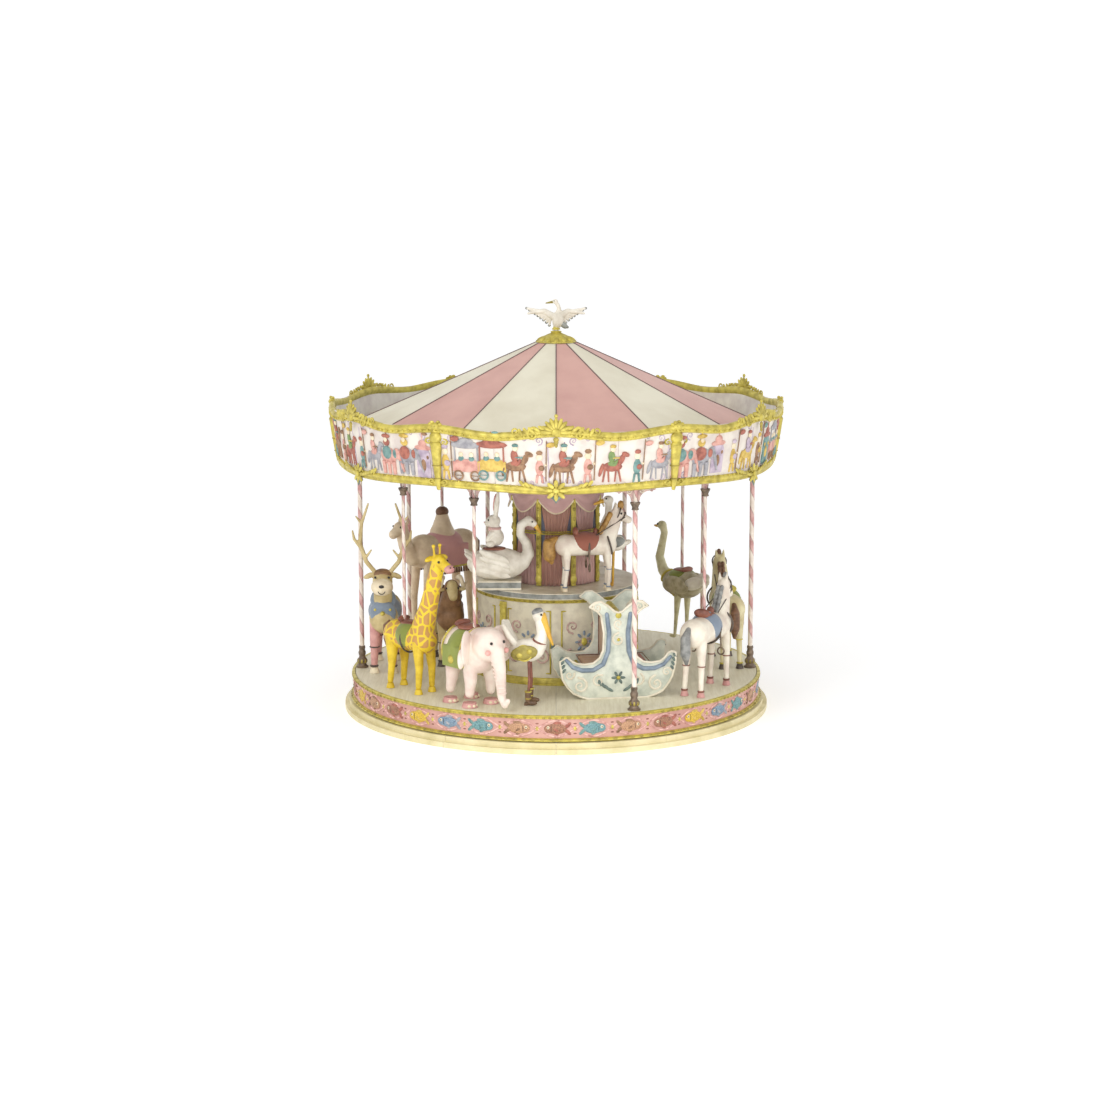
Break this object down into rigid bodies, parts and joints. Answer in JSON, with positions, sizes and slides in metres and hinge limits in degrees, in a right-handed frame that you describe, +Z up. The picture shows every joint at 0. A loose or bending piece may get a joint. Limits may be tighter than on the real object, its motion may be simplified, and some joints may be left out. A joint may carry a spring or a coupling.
{
  "type": "merry go round",
  "caption": "Turning merry-go-round with a peaked striped canopy, painted crown, figures and a chariot on a round deck, animals that rise and fall on crank gear.",
  "frame": {"origin": "on the mast's axis at ground level, the middle of the base's underside", "axes": "+Z up along the mast, -Y towards the front where the stork stands, +X to the right seen from the front"},
  "size_m": [6.72, 6.72, 6.0439],
  "materials": {
    "plinth_paint": "satin paint",
    "frame_steel": "grey primer",
    "bright_steel": "turned",
    "motor_paint": "green enamel",
    "deck_wood": "painted boards",
    "frieze_paint": "painted frieze",
    "gold_paint": "gilt carving",
    "scene_paint": "painted panels",
    "ivory_paint": "painted carving",
    "curtain_velvet": "velvet",
    "pole_paint": "spiral stripe",
    "bronze": "dark patina",
    "rafter_wood": "oiled timber",
    "canvas": "striped canvas",
    "animal_paint": "painted carving",
    "upholstery": "buttoned leather",
    "tyre": "solid tyre"
  },
  "bodies": {
    "base": {"plinth_ring": "plinth_paint", "ground_beams": "frame_steel", "levelling_feet": "frame_steel", "roller_track": "bright_steel", "mast": "frame_steel", "lower_thrust_race": "bright_steel", "sun_gear": "bright_steel", "gear_motor": "motor_paint"},
    "carousel": {"hub_sleeve": "frame_steel", "deck_joists": "frame_steel", "deck_panels": "deck_wood", "fascia_panels": "frieze_paint", "fascia_mouldings": "gold_paint", "drive_ring": "bright_steel", "drum_panels": "scene_paint", "drum_mouldings": "gold_paint", "stage_slab": "ivory_paint", "curtains": "curtain_velvet", "column_pilasters": "gold_paint", "valance": "curtain_velvet", "poles": "pole_paint", "pole_fittings": "bronze", "spandrels": "ivory_paint", "crown_frame": "frame_steel", "crown_panels": "scene_paint", "crown_mouldings": "gold_paint", "crown_ornaments": "gold_paint", "rafters": "rafter_wood", "apex_hub": "frame_steel", "canopy": "canvas", "canopy_cap": "gold_paint", "finial_bird": "ivory_paint", "crank_bearings": "frame_steel", "reindeer": "animal_paint", "giraffe": "animal_paint", "elephant": "animal_paint", "stork": "animal_paint", "chariot": "animal_paint", "chariot_cushions": "upholstery", "white_horse": "animal_paint", "palomino_horse": "animal_paint", "ram": "animal_paint", "swan_carriage": "animal_paint", "rabbit": "animal_paint", "stage_horse": "animal_paint", "stage_bird": "animal_paint"},
    "roller_1": {"roller_1": "bright_steel"},
    "roller_2": {"roller_2": "bright_steel"},
    "roller_3": {"roller_3": "bright_steel"},
    "roller_4": {"roller_4": "bright_steel"},
    "drive_wheel": {"drive_wheel": "tyre"},
    "ostrich_crank": {"ostrich_crank": "bright_steel"},
    "ostrich_rider": {"ostrich": "animal_paint", "ostrich_pole": "pole_paint"},
    "horse_crank": {"horse_crank": "bright_steel"},
    "horse_rider": {"lifting_horse": "animal_paint", "horse_pole": "pole_paint"},
    "camel_crank": {"camel_crank": "bright_steel"},
    "camel_rider": {"camel": "animal_paint", "camel_pole": "pole_paint"}
  },
  "joints": [
    {"name": "carousel_spin", "type": "hinge", "parent": "base", "child": "carousel", "pos_m": [0, 0, 0.53], "axis": [0, 0, 1], "continuous": true},
    {"name": "roller_1_spin", "type": "hinge", "parent": "carousel", "child": "roller_1", "pos_m": [2.16506, 1.25, 0.2703], "axis": [0.866, 0.5, 0], "continuous": true},
    {"name": "roller_2_spin", "type": "hinge", "parent": "carousel", "child": "roller_2", "pos_m": [-1.25, 2.16506, 0.2703], "axis": [-0.5, 0.866, 0], "continuous": true},
    {"name": "roller_3_spin", "type": "hinge", "parent": "carousel", "child": "roller_3", "pos_m": [-2.16506, -1.25, 0.2703], "axis": [-0.866, -0.5, 0], "continuous": true},
    {"name": "roller_4_spin", "type": "hinge", "parent": "carousel", "child": "roller_4", "pos_m": [1.25, -2.16506, 0.2703], "axis": [0.5, -0.866, 0], "continuous": true},
    {"name": "drive_wheel_spin", "type": "hinge", "parent": "base", "child": "drive_wheel", "pos_m": [1.6503, 0, 0.35], "axis": [0, 0, 1], "continuous": true},
    {"name": "ostrich_crank_spin", "type": "hinge", "parent": "carousel", "child": "ostrich_crank", "pos_m": [0.78043, 0.62524, 4], "axis": [0.7804, 0.6252, 0], "continuous": true},
    {"name": "ostrich_lift", "type": "slide", "parent": "carousel", "child": "ostrich_rider", "axis": [0, 0, 1], "range_m": [0, 0.2]},
    {"name": "horse_crank_spin", "type": "hinge", "parent": "carousel", "child": "horse_crank", "pos_m": [0.13053, 0.99145, 4], "axis": [0.1305, 0.9914, 0], "continuous": true},
    {"name": "horse_lift", "type": "slide", "parent": "carousel", "child": "horse_rider", "axis": [0, 0, 1], "range_m": [0, 0.2]},
    {"name": "camel_crank_spin", "type": "hinge", "parent": "carousel", "child": "camel_crank", "pos_m": [-0.70711, 0.70711, 4], "axis": [-0.7071, 0.7071, 0], "continuous": true},
    {"name": "camel_lift", "type": "slide", "parent": "carousel", "child": "camel_rider", "axis": [0, 0, 1], "range_m": [0, 0.2]}
  ],
  "couplings": [
    {"joint": "roller_1_spin", "follows": "carousel_spin", "ratio": -22.727},
    {"joint": "roller_2_spin", "follows": "carousel_spin", "ratio": -22.727},
    {"joint": "roller_3_spin", "follows": "carousel_spin", "ratio": -22.727},
    {"joint": "roller_4_spin", "follows": "carousel_spin", "ratio": -22.727},
    {"joint": "drive_wheel_spin", "follows": "carousel_spin", "ratio": -10},
    {"joint": "ostrich_crank_spin", "follows": "carousel_spin", "ratio": -3.125},
    {"joint": "horse_crank_spin", "follows": "carousel_spin", "ratio": -3.125},
    {"joint": "camel_crank_spin", "follows": "carousel_spin", "ratio": -3.125}
  ]
}
